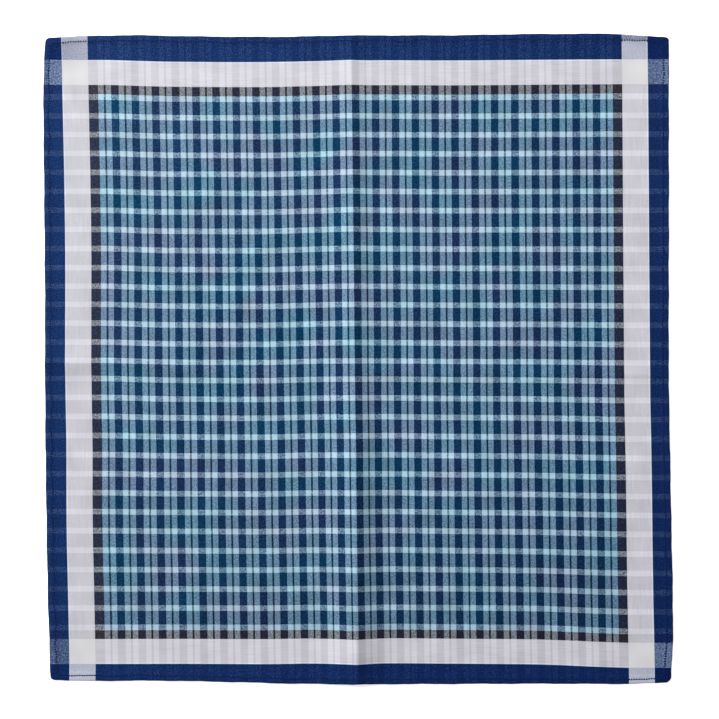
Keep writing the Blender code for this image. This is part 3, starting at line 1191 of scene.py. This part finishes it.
def stitches_mesh(sizes):
    """Make all the stitches of the four hems as one mesh."""
    shape = bmesh.new()
    bead = bead_mesh(sizes)
    pitch = sizes.pitch / MILLIMETRE
    for seam in LEVEL_SEAMS:
        x, y, inset = seam_line(seam, (LEFT_SIDE, RIGHT_SIDE), pitch)
        sew_seam(shape, bead, seam, x, y, inset)
    for seam in UPRIGHT_SEAMS:
        y, x, inset = seam_line(seam, (BOTTOM_SIDE, TOP_SIDE), pitch)
        sew_seam(shape, bead, seam, x, y, inset)
    bpy.data.meshes.remove(bead)
    return finished_mesh(shape, "hem_stitches")


def thread_material(yarns):
    """Matt navy sewing thread, with painted shade between its plies."""
    draft = ShaderDraft("navy_sewing_thread")
    place = draft.nodes.new("ShaderNodeTexCoord")
    mapping = draft.nodes.new("ShaderNodeMapping")
    mapping.inputs["Scale"].default_value = (1.0 / PLY_SPACING,) * 3
    draft.links.new(place.outputs["Object"], mapping.inputs["Vector"])
    ply_shade = draft.patches(mapping.outputs[0], detail=1.0)
    # Painted shade between the thread's plies
    colour = draft.tint(yarns.thread, draft.about_one(ply_shade, PLY_SHADE_SWING))
    draft.fill(draft.shader.inputs["Base Color"], colour)
    draft.shader.inputs["Roughness"].default_value = THREAD_ROUGHNESS
    draft.shader.inputs["Specular IOR Level"].default_value = COTTON_SPECULAR
    return draft.material


class SewHem(bpy.types.Operator):
    """Sew the hems with their line of machine stitches"""

    bl_idname = "handkerchief.sew_hem"
    bl_label = "Sew the hems"

    def execute(self, context):
        scene = context.scene
        mesh = stitches_mesh(scene.handkerchief_stitches)
        stitches = show("hem_stitches", mesh, thread_material(scene.handkerchief_yarns))
        return {"FINISHED"}


def floor_material(glow):
    """Matt white paper, lit a little from below."""
    draft = ShaderDraft("white_floor")
    draft.shader.inputs["Base Color"].default_value = FLOOR_WHITE
    draft.shader.inputs["Roughness"].default_value = FLOOR_ROUGHNESS
    draft.shader.inputs["Specular IOR Level"].default_value = FLOOR_SPECULAR
    draft.shader.inputs["Emission Color"].default_value = PURE_WHITE
    draft.shader.inputs["Emission Strength"].default_value = glow
    return draft.material


def soft_light(name, place, size, power):
    """A square soft light turned to the middle of the cloth."""
    light = bpy.data.lights.new(name, "AREA")
    light.shape = "SQUARE"
    light.size = size
    light.energy = power
    lamp = bpy.data.objects.new(name, light)
    lamp.location = place
    lamp.rotation_euler = (-Vector(place)).to_track_quat("-Z", "Y").to_euler()
    bpy.context.scene.collection.objects.link(lamp)


def lay_floor(glow):
    """Lay the plain pale floor."""
    shape = bmesh.new()
    bmesh.ops.create_grid(shape, x_segments=1, y_segments=1, size=0.5 * FLOOR_SIZE)
    bmesh.ops.translate(shape, vec=(0.0, 0.0, -FLOOR_DROP), verts=shape.verts)
    mesh = finished_mesh(shape, "floor")
    mesh.materials.append(floor_material(glow))
    floor = bpy.data.objects.new("floor", mesh)
    bpy.context.scene.collection.objects.link(floor)


def set_camera(settings):
    """Look straight down at the cloth, as the photograph does."""
    camera = bpy.data.cameras.new("camera")
    camera.sensor_width = SENSOR_WIDTH
    camera.lens = SENSOR_WIDTH * settings.camera_height / settings.view_width
    eye = bpy.data.objects.new("camera", camera)
    eye.location = (*settings.camera_offset, settings.camera_height)
    bpy.context.scene.collection.objects.link(eye)
    bpy.context.scene.camera = eye


def light_room(strength):
    """Fill the room with an even pale light."""
    world = bpy.data.worlds.new("pale_room")
    world.use_nodes = True
    background = world.node_tree.nodes["Background"]
    background.inputs["Color"].default_value = PURE_WHITE
    background.inputs["Strength"].default_value = strength
    bpy.context.scene.world = world


class SetStage(bpy.types.Operator):
    """Lay the floor and set the lights and the camera"""

    bl_idname = "handkerchief.set_stage"
    bl_label = "Set the stage"

    def execute(self, context):
        settings = context.scene.handkerchief_stage
        lay_floor(settings.floor_glow)
        soft_light("key_light", KEY_PLACE, KEY_SIZE, settings.key_power)
        soft_light("top_light", TOP_PLACE, TOP_SIZE, settings.top_power)
        light_room(settings.room_light)
        set_camera(settings)
        context.scene.view_settings.view_transform = "Standard"
        return {"FINISHED"}


class HandkerchiefPanel(bpy.types.Panel):
    """The handkerchief's tools in the 3D view's sidebar"""

    bl_idname = "VIEW3D_PT_handkerchief"
    bl_label = "Handkerchief"
    bl_space_type = "VIEW_3D"
    bl_region_type = "UI"
    bl_category = "Handkerchief"

    def draw(self, context):
        layout = self.layout
        for tool in (WeaveCloth, SewHem, SetStage):
            layout.operator(tool.bl_idname)
        for group in SETTING_GROUPS:
            box = layout.box()
            settings = getattr(context.scene, group)
            for name in settings.__annotations__:
                box.prop(settings, name)


SETTING_GROUPS = {
    "handkerchief_sizes": ClothSizes,
    "handkerchief_yarns": YarnColours,
    "handkerchief_stitches": StitchSizes,
    "handkerchief_stage": StageSettings,
}
TOOLS = (WeaveCloth, SewHem, SetStage, HandkerchiefPanel)


def register():
    """Register the settings, the operators and the panel."""
    for name, group in SETTING_GROUPS.items():
        bpy.utils.register_class(group)
        setattr(bpy.types.Scene, name, bpy.props.PointerProperty(type=group))
    for tool in TOOLS:
        bpy.utils.register_class(tool)


def unregister():
    """Take the panel, the operators and the settings away again."""
    for tool in reversed(TOOLS):
        bpy.utils.unregister_class(tool)
    for name, group in SETTING_GROUPS.items():
        delattr(bpy.types.Scene, name)
        bpy.utils.unregister_class(group)


def main():
    """Make the handkerchief and its stage."""
    register()
    bpy.ops.handkerchief.weave_cloth()
    bpy.ops.handkerchief.sew_hem()
    bpy.ops.handkerchief.set_stage()


if __name__ == "__main__":
    main()
